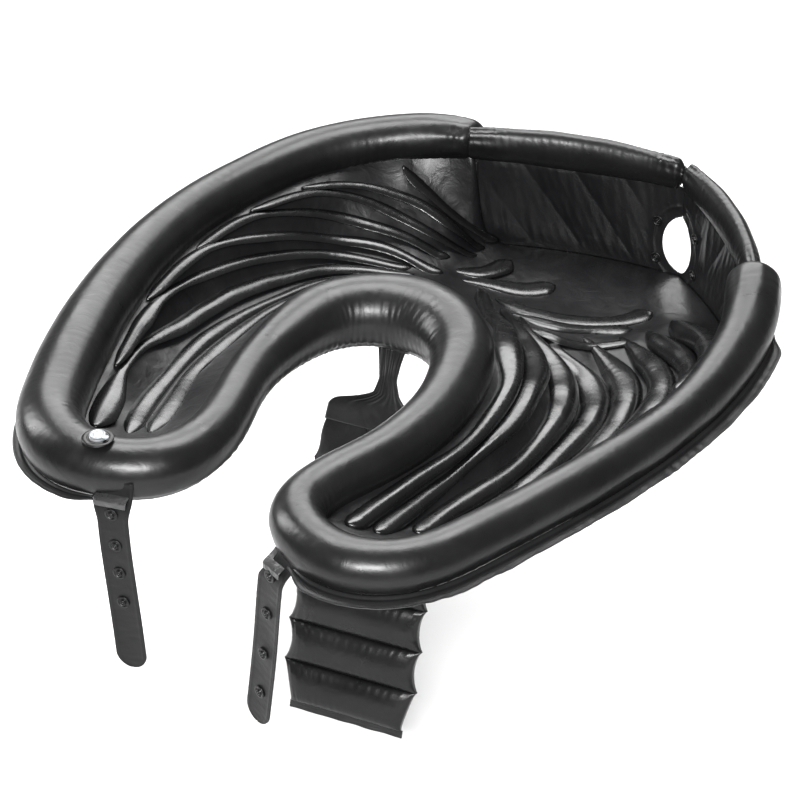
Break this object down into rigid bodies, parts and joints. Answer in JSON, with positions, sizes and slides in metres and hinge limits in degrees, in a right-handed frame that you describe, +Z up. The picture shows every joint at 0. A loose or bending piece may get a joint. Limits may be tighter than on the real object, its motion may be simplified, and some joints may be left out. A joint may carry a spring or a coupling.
{
  "type": "inflatable shampoo basin",
  "caption": "Inflatable U-shaped hair-washing basin with a ribbed floor, neck notch, snap-closed drain corner, hanging straps and a ribbed back pad.",
  "frame": {"origin": "centre of the round neck opening, on the mid-plane of the rim tube", "axes": "+X to the right arm, +Y to the drain corner at the rear, +Z up; the straps and the back pad hang towards -Z"},
  "size_m": [0.5949, 0.6784, 0.4149],
  "materials": {
    "black_vinyl": "satin",
    "dark_film": "gloss",
    "snap_black": "gloss",
    "valve_clear": "gloss"
  },
  "bodies": {
    "basin": {"rim_tube": "black_vinyl", "right_weld_flange": "black_vinyl", "left_weld_flange": "black_vinyl", "left_floor_film": "dark_film", "right_floor_film": "dark_film", "rear_floor_film": "dark_film", "left_floor_ribs": "black_vinyl", "right_floor_ribs": "black_vinyl", "trough_ribs": "black_vinyl", "left_pinch_weld": "black_vinyl", "right_pinch_weld": "black_vinyl", "valve_flange": "black_vinyl", "valve_flap": "black_vinyl", "left_strap_patch": "black_vinyl", "right_strap_patch": "black_vinyl", "pad_root_patch": "black_vinyl"},
    "left_wall": {"left_wall_edge_tube": "black_vinyl", "left_wall_film": "dark_film", "left_drain_snaps": "snap_black"},
    "right_wall": {"right_wall_edge_tube": "black_vinyl", "right_wall_film": "dark_film", "right_drain_snaps": "snap_black"},
    "valve_stem": {"valve_stem": "valve_clear"},
    "valve_cap": {"valve_cap": "valve_clear"},
    "left_strap": {"left_strap": "black_vinyl", "left_strap_snaps": "snap_black"},
    "right_strap": {"right_strap": "black_vinyl", "right_strap_snaps": "snap_black"},
    "back_pad": {"pad_neck": "black_vinyl", "back_pad": "black_vinyl", "pad_bottom_hem": "black_vinyl"}
  },
  "joints": [
    {"name": "left_wall_open", "type": "hinge", "parent": "basin", "child": "left_wall", "pos_m": [-0.086, 0.348, 0], "axis": [0, 0, 1], "range_deg": [0, 35]},
    {"name": "right_wall_open", "type": "hinge", "parent": "basin", "child": "right_wall", "pos_m": [0.2305, 0.2595, 0], "axis": [0, 0, -1], "range_deg": [0, 35]},
    {"name": "valve_pull", "type": "slide", "parent": "basin", "child": "valve_stem", "axis": [0, 0, 1], "range_m": [0, 0.009]},
    {"name": "valve_cap_hinge", "type": "hinge", "parent": "valve_stem", "child": "valve_cap", "pos_m": [-0.094, -0.247, 0.03075], "axis": [0, 1, 0], "range_deg": [0, 150]},
    {"name": "left_strap_swing", "type": "hinge", "parent": "basin", "child": "left_strap", "pos_m": [-0.08, -0.268, -0.007], "axis": [0.9877, 0.1564, 0], "range_deg": [-60, 30]},
    {"name": "right_strap_swing", "type": "hinge", "parent": "basin", "child": "right_strap", "pos_m": [0.07, -0.266, -0.015], "axis": [0.9563, -0.2924, 0], "range_deg": [-60, 50]},
    {"name": "back_pad_swing", "type": "hinge", "parent": "basin", "child": "back_pad", "pos_m": [-0.019, 0.065, -0.036], "axis": [0.9962, 0.0872, 0], "range_deg": [-45, 45]}
  ]
}
